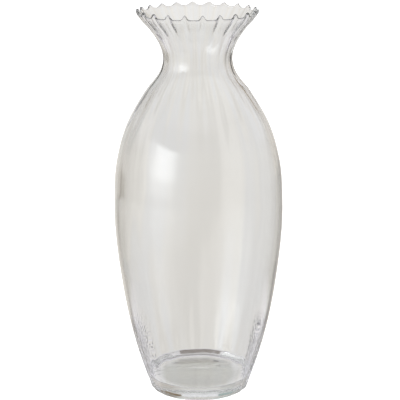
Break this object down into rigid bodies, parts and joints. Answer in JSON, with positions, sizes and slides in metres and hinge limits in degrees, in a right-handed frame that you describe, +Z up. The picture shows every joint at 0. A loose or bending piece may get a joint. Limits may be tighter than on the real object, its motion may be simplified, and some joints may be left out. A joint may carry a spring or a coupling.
{
  "type": "vase",
  "caption": "Tall vase in clear fluted glass with a thick round base, a full body, a drawn-in neck and a flared lip with scallops.",
  "frame": {"origin": "middle of the underside, level with the ring that the vase stands on", "axes": "+Z up along the axis of the vase, -Y towards the viewer of the picture, +X to the right"},
  "size_m": [0.1304, 0.1302, 0.3],
  "materials": {
    "clear_glass": "fire polished, smooth and glossy"
  },
  "bodies": {
    "root": {"base": "clear_glass", "lower_body": "clear_glass", "body": "clear_glass", "upper_body": "clear_glass", "shoulder": "clear_glass", "neck": "clear_glass", "rim": "clear_glass"}
  },
  "joints": []
}
